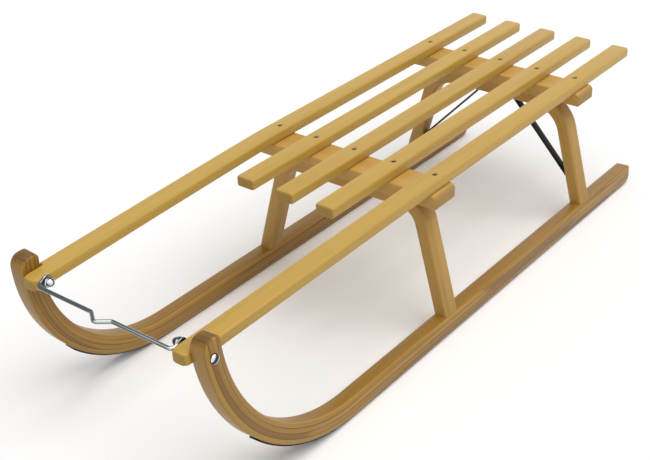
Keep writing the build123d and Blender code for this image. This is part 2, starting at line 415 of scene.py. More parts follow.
@dataclass(frozen=True)
class WoodFinish(Finish):
    """Lacquered timber, solid or glued up from layers."""

    pale: Triple
    deep: Triple
    shift: Triple = (0.0, 0.0, 0.0)
    end_tone: Triple = (0.72, 0.73, 0.85)
    ring_strength: float = 0.3
    relief: Pair = (0.25, 0.0002)
    specular: float = 0.3
    coat: float = 0.15
    coat_roughness: float = 0.22
    layers: int = 0
    layer_depth: float = 0.0
    layer_tone: tuple[float, ...] = (0.6, 0.57, 0.52, 1.0)
    layer_share: float = 0.5
    glue_tone: tuple[float, ...] = (0.1, 0.05, 0.012, 1.0)
    glue_depth: float = 2.0
    glue_edge: Pair = (0.39, 0.475)
    glue_draw: Triple = (1.0, 0.08, 1.0)
    glue_fade: Patches = Patches(30.0, 2.0, 0.3, 0.62)
    glue_least: float = 0.45
    glue_most: float = 0.95
    margin: float = 0.4
    layer_jump: Pair = (0.3, 3.0)

    def draw(self, sheet: NodeSheet) -> Inputs:
        """Wire the timber on the board's own place, with its grain along Y.

        Args:
            sheet: the material's node sheet.

        Returns:
            What feeds each of the shader's inputs.
        """
        place = sheet.add("Attribute", {}, attribute_name="board").outputs["Vector"]
        ends = sheet.add("Attribute", {}, attribute_name="end_grain").outputs["Fac"]
        if self.layers:
            place, seam, tint = self.laminate(sheet, place)
        figure = TimberFigure().place_in(sheet, {
            "Place": sheet.vector("ADD", place, self.shift), "Pale": (*self.pale, 1.0),
            "Deep": (*self.deep, 1.0), "End Tone": (*self.end_tone, 1.0),
            "Ring Strength": self.ring_strength, "End Grain": ends,
        })
        colour, height = figure["Color"], figure["Height"]
        if self.layers:
            shade = sheet.mix(tint, self.layer_tone, WHITE)
            colour = sheet.mix(self.layer_share, colour, shade, "MULTIPLY")
            colour = sheet.mix(seam, colour, self.glue_tone)
            height = sheet.math("SUBTRACT", height, sheet.times(seam, self.glue_depth))
        return {
            "Base Color": colour, "Roughness": figure["Roughness"],
            "Normal": sheet.bump(height, *self.relief), "Specular IOR Level": self.specular,
            "Coat Weight": self.coat, "Coat Roughness": self.coat_roughness,
        }

    def laminate(self, sheet: NodeSheet, place: Socket) -> tuple[Socket, Socket, Socket]:
        """Cut the board into glued layers.

        Args:
            sheet: the material's node sheet.
            place: the place in the board.

        Returns:
            The place with each layer shifted, the seam mask and each layer's own tone.
        """
        stack = sheet.math("DIVIDE", sheet.split(place)[2], self.layer_depth)
        off_middle = sheet.math("SUBTRACT", sheet.math("FRACT", stack), 0.5)
        edge = sheet.ramp(sheet.math("ABSOLUTE", off_middle), *self.glue_edge)
        drawn = sheet.vector("MULTIPLY", place, self.glue_draw)
        fade = sheet.patches(drawn, self.glue_fade, self.glue_least)
        inside = sheet.times(
            sheet.math("GREATER_THAN", stack, self.margin),
            sheet.math("LESS_THAN", stack, self.layers - self.margin),
        )
        seam = sheet.times(sheet.times(edge, fade), sheet.times(inside, self.glue_most))
        layer = sheet.math("FLOOR", stack)
        tint = sheet.add("TexWhiteNoise", {"W": layer}, noise_dimensions="1D").outputs["Value"]
        jumps = {axis: sheet.times(tint, jump) for axis, jump in enumerate(self.layer_jump)}
        jump = sheet.add("CombineXYZ", jumps).outputs[0]
        return sheet.vector("ADD", place, jump), seam, tint


@dataclass(frozen=True)
class MetalFinish(Finish):
    """Steel with a plain, plated or blackened surface, and where asked, painted reflection bands.
    """

    fresh: Triple
    worn: Triple
    metallic: float
    roughness: float
    wear: float
    shine: float = 0.5
    relief: Pair = (0.1, 0.0001)
    # Painted reflection: how strongly dark bands are mixed in by facing, where they start and end,
    # and their tone.
    painted_reflection: float = 0.0
    reflection_start: Pair = (0.16, 0.27)
    reflection_end: Pair = (0.66, 0.5)
    painted_reflection_tone: tuple[float, ...] = (0.02, 0.022, 0.025, 1.0)

    def draw(self, sheet: NodeSheet) -> Inputs:
        """Wire the steel, with a painted reflection: dark bands, set by how far each face turns
        from the view, mixed into the bright colour.

        Args:
            sheet: the material's node sheet.

        Returns:
            What feeds each of the shader's inputs.
        """
        scuffs = MetalScuffs().place_in(sheet, {
            "Place": sheet.add("TexCoord", {}).outputs["Object"], "Fresh": (*self.fresh, 1.0),
            "Worn": (*self.worn, 1.0), "Base Roughness": self.roughness, "Wear": self.wear,
        })
        colour = scuffs["Color"]
        if self.painted_reflection:
            # Painted reflection: dark bands by facing stand in for dark surroundings mirrored in
            # the steel.
            facing = sheet.add("LayerWeight", {}).outputs["Facing"]
            band = sheet.times(
                sheet.ramp(facing, *self.reflection_start), sheet.ramp(facing, *self.reflection_end),
                self.painted_reflection,
            )
            colour = sheet.mix(band, colour, self.painted_reflection_tone)
        return {
            "Base Color": colour, "Roughness": scuffs["Roughness"],
            "Normal": sheet.bump(scuffs["Height"], *self.relief), "Metallic": self.metallic,
            "Specular IOR Level": self.shine,
        }


RUNNER_WOOD = WoodFinish(
    "runner_layers", (0.5, 0.275, 0.042), (0.24, 0.115, 0.018), end_tone=(0.52, 0.5, 0.46),
    ring_strength=0.6, layers=4,
)
SEAT_WOOD = WoodFinish(
    "seat_wood", (0.59, 0.372, 0.07), (0.455, 0.262, 0.044), ring_strength=0.18,
)
CROSSBAR_WOOD = WoodFinish(
    "crossbar_wood", (0.6, 0.36, 0.085), (0.44, 0.24, 0.05), ring_strength=0.18,
)
BOW_WOOD = replace(CROSSBAR_WOOD, ring_strength=0.3)
BLACK_STEEL = MetalFinish(
    "black_steel", (0.008, 0.008, 0.007), (0.03, 0.03, 0.028),
    metallic=0.0, roughness=0.42, wear=0.4, shine=0.2,
)
# The tow bar's steel; its dark bands are a painted reflection.
BRIGHT_STEEL = MetalFinish(
    "bar_steel", (0.5, 0.56, 0.56), (0.3, 0.34, 0.34),
    metallic=1.0, roughness=0.2, wear=0.5, painted_reflection=0.85,
)
# Chrome for the bolt heads and cap nuts; its dark bands are a painted reflection.
CHROMED_STEEL = MetalFinish(
    "chromed_steel_painted_reflection", (0.8, 0.81, 0.83), (0.6, 0.61, 0.63),
    metallic=1.0, roughness=0.06, wear=0.2, painted_reflection=0.97,
)
# Screw steel, dark partly for the screws' own tone and partly as painted shade for the shadow in
# their sunk seats.
SHADED_DARK_STEEL = MetalFinish(
    "screw_steel_dark_and_painted_shade", (0.17, 0.16, 0.14), (0.09, 0.085, 0.075),
    metallic=1.0, roughness=0.3, wear=0.4,
)


@dataclass(frozen=True)
class Stretch:
    """One stretch of a bent path: its length, and its turn to the left in radians."""

    length: float
    turn: float = 0.0


@dataclass(frozen=True)
class BentPath:
    """A flat path of straights and arcs that one face of a board follows."""

    start: Pair
    heading: float
    stretches: tuple[Stretch, ...]

    @property
    def length(self) -> float:
        """The path's whole length."""
        return sum(stretch.length for stretch in self.stretches)

    def stations(self, arc_step: float) -> list[float]:
        """Places along the path at which a board needs a cut to bend smoothly.

        Args:
            arc_step: the largest turn between two cuts, in radians.

        Returns:
            Distances along the path.
        """
        cuts: list[float] = []
        reached = 0.0
        for stretch in self.stretches:
            count = max(1, math.ceil(abs(stretch.turn) / arc_step))
            cuts += [reached + stretch.length * step / count for step in range(1, count + 1)]
            reached += stretch.length
        return cuts[:-1]

    def place(self, along: float, offset: float) -> Pair:
        """Bend one point of a straight board on to the path.

        Args:
            along: distance along the path.
            offset: distance to the left of the path.

        Returns:
            The point in the path's plane.
        """
        across, up = self.start
        angle = self.heading
        left = along
        for index, stretch in enumerate(self.stretches):
            last = index == len(self.stretches) - 1
            step = left if last else min(left, stretch.length)
            turn = stretch.turn * step / stretch.length
            if abs(turn) > TINY:
                radius = stretch.length / stretch.turn
                across += radius * (math.sin(angle + turn) - math.sin(angle))
                up -= radius * (math.cos(angle + turn) - math.cos(angle))
            else:
                across += step * math.cos(angle)
                up += step * math.sin(angle)
            angle += turn
            left -= step
            if left <= 0.0:
                break
        return across - offset * math.sin(angle), up + offset * math.cos(angle)


def link_piece(mesh: Mesh, name: str, node: str, finish: Finish) -> Piece:
    """Turn a finished bmesh into a dressed piece that takes its node's place on the sled.

    Args:
        mesh: the bmesh, which is freed.
        name: the piece's name.
        node: the node that it replaces.
        finish: its only finish.

    Returns:
        The new piece.
    """
    bmesh.ops.recalc_face_normals(mesh, faces=mesh.faces)
    data = bpy.data.meshes.new(name)
    mesh.to_mesh(data)
    mesh.free()
    data.materials.append(finish.material())
    for polygon in data.polygons:
        polygon.use_smooth = True
    data.set_sharp_from_angle(angle=SHARP_ANGLE)
    piece = bpy.data.objects.new(name, data)
    bpy.context.scene.collection.objects.link(piece)
    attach(piece, BODY)
    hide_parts(node)
    return piece


def straight_board(width: float, length: float, depth: float) -> Mesh:
    """Start a straight board: X across from 0, Y along from 0, Z through its depth from 0.

    Args:
        width: size across.
        length: size along.
        depth: size through.

    Returns:
        The board.
    """
    board = bmesh.new()
    corner = Matrix.Translation((0.5, 0.5, 0.5))
    sizes = Matrix.Diagonal((width, length, depth, 1.0))
    bmesh.ops.create_cube(board, size=1.0, matrix=sizes @ corner)
    return board


def round_edges(board: Mesh, edges: Edges, radius: float, strips: int) -> None:
    """Round some edges of a board.

    Args:
        board: the board.
        edges: the edges to round.
        radius: how far the rounding reaches.
        strips: how many strips it gets.
    """
    bmesh.ops.bevel(
        board, geom=edges, offset=radius, segments=strips, profile=0.5, affect="EDGES",
        material=-1, clamp_overlap=True,
    )


def end_edges(board: Mesh, along: float, axis: Axis, depth: float | None = None) -> Edges:
    """Pick the edges at one place along a straight board that run one way.

    Args:
        board: the board.
        along: the place along Y.
        axis: the way that the edges run.
        depth: keep only edges at this depth, if given.

    Returns:
        The edges.
    """
    picked = []
    for edge in board.edges:
        first, second = (vertex.co for vertex in edge.verts)
        straight = abs((first - second)[axis]) > STRAIGHT * (first - second).length
        at_depth = depth is None or abs(first.z - depth) < TINY
        if straight and at_depth and abs(first.y - along) < TINY:
            picked.append(edge)
    return picked


def outline(board: Mesh, axis: Axis) -> Edges:
    """Pick the edges round the two flat sides of a straight board that face one axis.

    Args:
        board: the board.
        axis: the axis.

    Returns:
        The edges.
    """
    board.normal_update()
    flats = {face for face in board.faces if abs(face.normal[axis]) > FLAT}
    return [edge for edge in board.edges if len(flats.intersection(edge.link_faces)) == 1]


def cut(board: Mesh, stations: Iterable[float], axis: Axis = Axis.ALONG) -> None:
    """Cut a straight board square to an axis at each station, so that it can bend there.

    Args:
        board: the board.
        stations: distances along the axis.
        axis: the axis.
    """
    normal = Vector([float(axis == other) for other in Axis])
    for station in stations:
        geometry = [*board.verts, *board.edges, *board.faces]
        bmesh.ops.bisect_plane(
            board, geom=geometry, dist=TINY, plane_co=normal * station, plane_no=normal,
        )


def mark_grain(board: Mesh) -> None:
    """Keep each point's place in the straight board, and how much end grain shows there.

    Args:
        board: the board.
    """
    board.normal_update()
    place = board.verts.layers.float_vector.new("board")
    ends = board.verts.layers.float.new("end_grain")
    for vertex in board.verts:
        vertex[place] = vertex.co
        facing = (abs(vertex.normal.y) - END_GRAIN_START) / END_GRAIN_SPREAD
        vertex[ends] = min(1.0, max(0.0, facing))


def sink_seat(board: Mesh, centre: Vector, radii: Pair, depth: float) -> None:
    """Sink a screw's conical seat into the square face round its centre.

    Args:
        board: the board, already cut to a small square there.
        centre: the seat's middle on the face.
        radii: the seat's radius at the surface and at its bottom.
        depth: the seat's depth.
    """
    face = min(board.faces, key=lambda item: (item.calc_center_median() - centre).length)
    bmesh.ops.bisect_edges(board, edges=list(face.edges), cuts=SEAT_CUTS, edge_percents={})
    inset = radii[0] * SEAT_INSET
    bmesh.ops.inset_individual(board, faces=[face], thickness=inset, depth=0.0)
    for vertex in face.verts:
        vertex.co = centre + (vertex.co - centre).normalized() * radii[0]
    for sunk in (depth, 2 * depth):
        face = bmesh.ops.extrude_discrete_faces(board, faces=[face])["faces"][0]
        for vertex in face.verts:
            out = vertex.co - centre
            out.z = 0.0
            vertex.co = centre + out.normalized() * radii[1] - Vector((0.0, 0.0, sunk))


def newer(mesh: Mesh, before: set[bmesh.types.BMVert]) -> list[bmesh.types.BMVert]:
    """The points that a mesh has gained since an earlier set of them."""
    return [vertex for vertex in mesh.verts if vertex not in before]


def dome(start: float, rise: float, radius: float, strips: int) -> list[Pair]:
    """The profile of a dome from its rim to its tip, as pairs of distance and radius."""
    turns = [QUARTER * step / strips for step in range(strips + 1)]
    return [(start + rise * math.sin(turn), radius * math.cos(turn)) for turn in turns]


def turn_on(mesh: Mesh, profile: list[Pair], place: Matrix, strips: int) -> None:
    """Turn a round solid on the X axis and add it to a mesh.

    Args:
        mesh: the mesh to add to.
        profile: pairs of distance along the axis and radius.
        place: where the solid goes and which way it points.
        strips: how many strips the round has.
    """
    before = set(mesh.verts)
    line = bmesh.ops.create_vert(mesh, co=(*profile[0], 0.0))["vert"]
    for along, radius in profile[1:]:
        line += bmesh.ops.extrude_vert_indiv(mesh, verts=line[-1:])["verts"]
        line[-1].co = (along, radius, 0.0)
    edges = [edge for edge in mesh.edges if edge.verts[0] in line]
    bmesh.ops.spin(
        mesh, geom=line + edges, cent=(0.0, 0.0, 0.0), axis=(1.0, 0.0, 0.0),
        angle=2 * math.pi, steps=strips, use_merge=True,
    )
    bmesh.ops.remove_doubles(mesh, verts=newer(mesh, before), dist=TINY)
    bmesh.ops.transform(mesh, verts=newer(mesh, before), matrix=place)


@dataclass
class Runners:
    """The two laminated runners, bent up to the horns, with their steel shoes."""

    wood_length: float = 1.1
    horn_top: float = 0.262
    width: float = 0.0245
    height: float = 0.0295
    lean: float = LEAN
    outer_x: float = 0.1847
    shoe_width: float = 0.018
    shoe_depth: float = 0.0025
    tail_rounds: Pair = (0.013, 0.004)
    horn_rounds: Pair = (0.0165, 0.009)
    edge_round: float = 0.0024
    tip_round: float = 0.003
    tip_cuts: tuple[float, ...] = (1.0, 0.7, 0.45, 0.25, 0.1)
    arc_step: float = math.radians(2.5)

    @property
    def lift(self) -> float:
        """Height of the wood's inner lower edge over the floor."""
        ledge = (self.width - self.shoe_width) / 2
        return self.shoe_depth * math.cos(self.lean) - ledge * math.sin(self.lean)

    @property
    def inner_x(self) -> float:
        """Place of the wood's inner lower edge."""
        return self.outer_x - self.width * math.cos(self.lean)

    @property
    def bend_radius(self) -> float:
        """Radius of the lower face in the front bend."""
        return (self.horn_top - self.lift) / math.cos(self.lean)

    def inner_face_x(self, level: float) -> float:
        """Place of the leaning inner face at a height."""
        return self.inner_x - (level - self.lift) * math.tan(self.lean)

    def path(self) -> BentPath:
        """The line of the runner's lower face, from tail to horn."""
        bend = Stretch(self.bend_radius * QUARTER, QUARTER)
        return BentPath((0.0, 0.0), 0.0, (Stretch(self.wood_length - self.bend_radius), bend))

    def tip_across(self, point: Vector, length: float) -> float:
        """Distance from the inner face, drawn in where the horn's tip is rounded.

        Args:
            point: a point of the straight board.
            length: the board's length.

        Returns:
            The distance.
        """
        reach = max(0.0, point.y - length + self.tip_round)
        narrow = self.tip_round - math.sqrt(max(0.0, self.tip_round**2 - reach**2))
        middle = self.width / 2
        return middle + (point.x - middle) * (1.0 - narrow / middle)

    def to_sled(self, across: float, forward: float, up: float, side: Side) -> Vector:
        """Turn a point of the runner's own leaning plane into the sled's frame.

        Args:
            across: distance outward from the inner face.
            forward: distance from the tail toward the horn.
            up: distance up the leaning side.
            side: which runner.

        Returns:
            The point.
        """
        outward = self.inner_x + across * math.cos(self.lean) - up * math.sin(self.lean)
        level = self.lift + across * math.sin(self.lean) + up * math.cos(self.lean)
        return Vector((side.value * outward, TAIL_Y - forward, level))

    def bend_board(self, side: Side) -> Mesh:
        """Shape one runner.

        Args:
            side: which runner.

        Returns:
            The bent board.
        """
        path = self.path()
        board = straight_board(self.width, path.length, self.height)
        for depth, *radii in zip((0.0, self.height), self.tail_rounds, self.horn_rounds):
            for end, radius, strips in zip((0.0, path.length), radii, (5, 7)):
                edges = end_edges(board, end, Axis.ACROSS, depth)
                round_edges(board, edges, radius, strips=strips)
        round_edges(board, outline(board, Axis.ACROSS), self.edge_round, strips=3)
        tip = [path.length - self.tip_round * share for share in self.tip_cuts]
        cut(board, path.stations(self.arc_step) + tip)
        mark_grain(board)
        for vertex in board.verts:
            across = self.tip_across(vertex.co, path.length)
            vertex.co = self.to_sled(across, *path.place(vertex.co.y, vertex.co.z), side)
        return board

    def build(self) -> Iterator[Piece]:
        """Make both runners, in layered wood.

        Returns:
            The runners, one by one.
        """
        wood = replace(RUNNER_WOOD, layer_depth=self.height / RUNNER_WOOD.layers)
        for side in Side:
            name, shift = f"runner_{side.word}_layers", (0.5 * side.value, 0.9, 0.0)
            yield link_piece(
                self.bend_board(side), f"runner_wood_{side.word}", f"runner_{side.word}",
                replace(wood, name=name, shift=shift),
            )

    def dress_shoes(self, nodes: dict[str, Piece]) -> None:
        """Blacken the two shoes, which keep the frame's shape.

        Args:
            nodes: the frame's nodes by name.
        """
        for side in Side:
            slots = nodes[f"shoe_{side.word}"].data.materials
            slots.clear()
            slots.append(BLACK_STEEL.material())


@dataclass
class SeatBoards:
    """The five seat boards: three slats between two side rails sprung down and in to the horns."""

    runners: Runners
    width: float = 0.031
    thickness: float = 0.0168
    slat_length: float = 0.754
    # Each rail's length, and the length of its rebate beside the horn.
    rails: tuple[Pair, Pair] = ((1.103, 0.0372), (1.108, 0.0422))
    spring_start: float = 0.612
    spring_length: float = 0.03
    spring_angle: float = math.radians(1.45)
    nose_drop: float = 0.012
    nose_inset: float = 0.0074
    rebate_gap: float = 0.0003
    shoulder: float = 0.002
    corner_round: float = 0.0045
    nose_round: float = 0.009
    edge_round: float = 0.0035
    screw_seat: Pair = (0.0056, 0.0026)
    screw_depth: float = 0.0026
    seat_room: float = 1.3
    arc_step: float = math.radians(0.3)

    @property
    def roll(self) -> float:
        """Angle between straight down and the way a rail springs."""
        return math.atan2(self.nose_inset, self.nose_drop)

    def rail_path(self, length: float) -> BentPath:
        """A rail's line, from its tail over the bows and down to its nose.

        Args:
            length: the rail's length.

        Returns:
            The path.
        """
        sprung = length - self.spring_start - self.spring_length
        drop = math.hypot(self.nose_drop, self.nose_inset)
        rest = drop - self.spring_angle * (sprung + self.spring_length / 2)
        spring = Stretch(self.spring_length, -self.spring_angle)
        line = (Stretch(self.spring_start), spring, Stretch(sprung, -2 * rest / sprung))
        return BentPath((0.0, 0.0), 0.0, line)

    def sprung_off(self, path: BentPath, along: float) -> Pair:
        """How far a rail has sprung inward and downward at a distance from its tail."""
        fall = -path.place(along, 0.0)[1]
        return fall * math.sin(self.roll), fall * math.cos(self.roll)

    def soften(self, board: Mesh) -> None:
        """Round a board's edges and sink its two screw seats.

        Args:
            board: the board, still straight.
        """
        round_edges(board, outline(board, Axis.THROUGH), self.edge_round, strips=4)
        room = self.screw_seat[0] * self.seat_room
        middle = self.width / 2
        cut(board, (middle - room, middle + room), Axis.ACROSS)
        for along in (TAIL_Y - FRONT_ROW, TAIL_Y - REAR_ROW):
            cut(board, (along - room, along + room))
            centre = Vector((middle, along, self.thickness))
            sink_seat(board, centre, self.screw_seat, self.screw_depth)

    def straight_slat(self, place_x: float) -> Mesh:
        """Shape one slat.

        Args:
            place_x: its middle across the sled.

        Returns:
            The slat.
        """
        board = straight_board(self.width, self.slat_length, self.thickness)
        corners = [end_edges(board, end, Axis.THROUGH) for end in (0.0, self.slat_length)]
        round_edges(board, sum(corners, []), self.corner_round, strips=4)
        self.soften(board)
        mark_grain(board)
        corner = Vector((place_x - self.width / 2, TAIL_Y, SEAT_TOP - self.thickness))
        for vertex in board.verts:
            vertex.co = corner + vertex.co * Vector((1.0, -1.0, 1.0))
        return board

    def sprung_rail(self, side: Side, length: float, rebate: float) -> Mesh:
        """Shape one side rail, its nose rebated beside the horn.

        Args:
            side: which rail.
            length: its length.
            rebate: the length of its rebate.

        Returns:
            The rail.
        """
        path = self.rail_path(length)
        board = straight_board(self.width, length, self.thickness)
        shoulder_y = length - rebate
        cut(board, (shoulder_y, shoulder_y + self.shoulder))
        inner_x = 2 * PITCH - self.width / 2
        underside = SEAT_TOP - self.thickness
        for vertex in board.verts:
            if vertex.co.y > shoulder_y + self.shoulder / 2 and vertex.co.x > self.width / 2:
                inward, downward = self.sprung_off(path, vertex.co.y)
                horn_x = self.runners.inner_face_x(underside + vertex.co.z - downward)
                vertex.co.x = horn_x - self.rebate_gap - inner_x + inward
        round_edges(board, end_edges(board, 0.0, Axis.THROUGH), self.corner_round, strips=4)
        round_edges(board, end_edges(board, length, Axis.THROUGH), self.nose_round, strips=6)
        self.soften(board)
        cut(board, path.stations(self.arc_step))
        mark_grain(board)
        for vertex in board.verts:
            inward, downward = self.sprung_off(path, vertex.co.y)
            across, along, depth = vertex.co
            outward = side.value * (inner_x + across - inward)
            vertex.co = (outward, TAIL_Y - along, underside + depth - downward)
        return board

    def link(self, name: str, board: Mesh, finish: str, shift: Triple) -> Piece:
        """Link a shaped board in place of its node, in seat wood of its own figure."""
        wood = replace(SEAT_WOOD, name=finish, shift=shift)
        return link_piece(board, f"{name}_board", name, wood)

    def build(self) -> Iterator[Piece]:
        """Make the three slats and the two rails.

        Returns:
            The boards, one by one.
        """
        for index, name in enumerate(("slat_left", "slat_middle", "slat_right")):
            shift = (0.21 * index, 0.7 * index, 0.13 * index)
            slat = self.straight_slat((index - 1) * PITCH)
            yield self.link(name, slat, f"{name}_wood", shift)
        for side, sizes in zip(Side, self.rails):
            shift, rail = (0.9, 0.4 * side.value, 0.31), self.sprung_rail(side, *sizes)
            yield self.link(f"side_rail_{side.word}", rail, f"rail_{side.word}_wood", shift)


@dataclass
class Crossbars:
    """The two crossbars under the seat, with rounded ends."""

    # Each one's node, its middle along the sled and its width.
    rows: tuple[tuple[str, float, float], ...] = (
        ("front_crossbar", -0.0355, 0.0525), ("rear_crossbar", REAR_ROW, 0.05),
    )
    half_length: float = 0.165
    height: float = 0.0222
    top_z: float = 0.2372
    end_rounds: Pair = (0.0025, 0.008)
    edge_round: float = 0.004

    def cross_board(self, row_y: float, width: float) -> Mesh:
        """Shape one crossbar.

        Args:
            row_y: its middle along the sled.
            width: its size along the sled.

        Returns:
            The crossbar.
        """
        length = 2 * self.half_length
        board = straight_board(width, length, self.height)
        for depth, radius in zip((0.0, self.height), self.end_rounds):
            ends = [end_edges(board, end, Axis.ACROSS, depth) for end in (0.0, length)]
            round_edges(board, sum(ends, []), radius, strips=6)
        round_edges(board, outline(board, Axis.ACROSS), self.edge_round, strips=4)
        mark_grain(board)
        corner = Vector((-self.half_length, row_y - width / 2, self.top_z - self.height))
        for vertex in board.verts:
            vertex.co = corner + vertex.co.yxz
        return board

    def build(self) -> Iterator[Piece]:
        """Make both crossbars.

        Returns:
            The crossbars, one by one.
        """
        for index, (name, row_y, width) in enumerate(self.rows):
            shift = (0.3 + index, 0.4, 0.17 * index)
            wood = replace(CROSSBAR_WOOD, name=f"{name}_wood", shift=shift)
            board = self.cross_board(row_y, width)
            yield link_piece(board, f"{name}_board", name, wood)


@dataclass
class Bows:
    """The two bentwood bows that carry the crossbars."""

    # Each one's node, its middle along the sled and the radius inside its bends.
    rows: tuple[tuple[str, float, float], ...] = (
        ("front_bow", -0.033, 0.028), ("rear_bow", REAR_ROW, 0.048),
    )
    depth: float = 0.0305
    thickness: float = 0.022
    splay: float = math.radians(15.0)
    foot_x: float = 0.1699
    foot_z: float = 0.0325
    bottom_z: float = 0.193
    lean: float = LEAN
    below: float = 0.008
    seat: float = 0.0003
    edge_round: float = 0.0038
    arc_step: float = math.radians(5.0)

    @property
    def inner_foot_x(self) -> float:
        """Place of a leg's inner face at the foot's height."""
        return self.foot_x - self.thickness / 2 / math.cos(self.splay)

    def path(self, radius: float) -> BentPath:
        """The line of the bow's inner face, from the left foot over to the right one.

        Args:
            radius: the radius inside its bends.

        Returns:
            The path.
        """
        start_z = self.foot_z - self.below
        start_x = self.inner_foot_x + self.below * math.tan(self.splay)
        corner_x = self.inner_foot_x - (self.bottom_z - self.foot_z) * math.tan(self.splay)
        bend = QUARTER - self.splay
        tangent = radius * math.tan(bend / 2)
        leg = Stretch((self.bottom_z - start_z) / math.cos(self.splay) - tangent)
        corner = Stretch(radius * bend, -bend)
        line = (leg, corner, Stretch(2 * (corner_x - tangent)), corner, leg)
        return BentPath((-start_x, start_z), bend, line)

    def bend_board(self, row_y: float, radius: float) -> Mesh:
        """Shape one bow, its feet cut to the leaning runners.

        Args:
            row_y: its middle along the sled.
            radius: the radius inside its bends.

        Returns:
            The bent board.
        """
        path = self.path(radius)
        board = straight_board(self.depth, path.length, self.thickness)
        round_edges(board, outline(board, Axis.ACROSS), self.edge_round, strips=4)
        cut(board, path.stations(self.arc_step))
        mark_grain(board)
        for vertex in board.verts:
            across, up = path.place(vertex.co.y, vertex.co.z)
            vertex.co = (across, row_y - self.depth / 2 + vertex.co.x, up)
        for side in Side:
            foot = bmesh.ops.bisect_plane(
                board, geom=[*board.verts, *board.edges, *board.faces], clear_inner=True,
                plane_co=(side.value * self.foot_x, row_y, self.foot_z - self.seat),
                plane_no=(-side.value * math.sin(self.lean), 0.0, math.cos(self.lean)),
            )["geom_cut"]
            rim = [item for item in foot if isinstance(item, bmesh.types.BMEdge)]
            bmesh.ops.edgenet_fill(board, edges=rim)
        return board

    def build(self) -> Iterator[Piece]:
        """Make both bows.

        Returns:
            The bows, one by one.
        """
        for index, (name, row_y, radius) in enumerate(self.rows):
            wood = replace(BOW_WOOD, name=f"{name}_bent", shift=(0.4 * index, 0.2, 0.6))
            board = self.bend_board(row_y, radius)
            yield link_piece(board, f"{name}_wood", name, wood)


@dataclass
class Braces:
    """The two flat steel braces from the rear bow to its legs, with a screw at both ends."""

    bows: Bows
    width: float = 0.014
    thickness: float = 0.0026
    top_x: float = 0.036
    foot_z: float = 0.074
    flange: float = 0.016
    bend_radius: float = 0.007
    arc_step: float = math.radians(12.0)
    end_round: float = 0.42
    edge_round: float = 0.0006
    screw_radius: float = 0.0034
    screw_height: float = 0.0016
    screw_root: float = 0.001
    screw_share: float = 0.45

    def corners(self) -> list[Vector]:
        """The right hand brace's line on the wood's side, from its top flange to its lower one.

        Returns:
            The line's two ends and two corners.
        """
        bows = self.bows
        leg_x = bows.inner_foot_x - (self.foot_z - bows.foot_z) * math.tan(bows.splay)
        bend, leg = Vector((self.top_x, bows.bottom_z)), Vector((leg_x, self.foot_z))
        down = self.flange * Vector((math.sin(bows.splay), -math.cos(bows.splay)))
        return [bend - Vector((self.flange, 0.0)), bend, leg, leg + down]

    def path(self) -> BentPath:
        """The same line with its two bends rounded.

        Returns:
            The path.
        """
        points = self.corners()
        legs = [after - before for before, after in zip(points, points[1:])]
        headings = [math.atan2(leg.y, leg.x) for leg in legs]
        turns = [after - before for before, after in zip(headings, headings[1:])]
        short = [0.0, *(self.bend_radius * math.tan(abs(turn) / 2) for turn in turns), 0.0]
        stretches = []
        for index, leg in enumerate(legs):
            stretches.append(Stretch(leg.length - short[index] - short[index + 1]))
            stretches += [Stretch(self.bend_radius * abs(t), t) for t in turns[index:index + 1]]
        return BentPath(tuple(points[0]), headings[0], tuple(stretches))

    def bend_strip(self, side: Side) -> Mesh:
        """Shape one brace with its screw heads.

        Args:
            side: which brace.

        Returns:
            The bent strip.
        """
        path = self.path()
        strip = straight_board(self.width, path.length, self.thickness)
        corners = [end_edges(strip, end, Axis.THROUGH) for end in (0.0, path.length)]
        round_edges(strip, sum(corners, []), self.width * self.end_round, strips=6)
        round_edges(strip, outline(strip, Axis.THROUGH), self.edge_round, strips=2)
        cut(strip, path.stations(self.arc_step))
        root = [(-self.screw_root, 0.0), (-self.screw_root, self.screw_radius)]
        head = root + dome(0.0, self.screw_height, self.screw_radius, strips=6)
        setback = self.flange * self.screw_share
        for along in (setback, path.length - setback):
            place = Matrix.Translation((self.width / 2, along, 0.0))
            turn_on(strip, head, place @ Matrix.Rotation(QUARTER, 4, "Y"), strips=20)
        for vertex in strip.verts:
            across, level = path.place(vertex.co.y, vertex.co.z - self.thickness)
            along = REAR_ROW - self.width / 2 + vertex.co.x
            vertex.co = (side.value * across, along, level)
        return strip

    def build(self) -> Iterator[Piece]:
        """Make both braces.

        Returns:
            The braces, one by one.
        """
        for side in Side:
            name, strip = f"brace_{side.word}", self.bend_strip(side)
            yield link_piece(strip, f"{name}_strip", name, BLACK_STEEL)


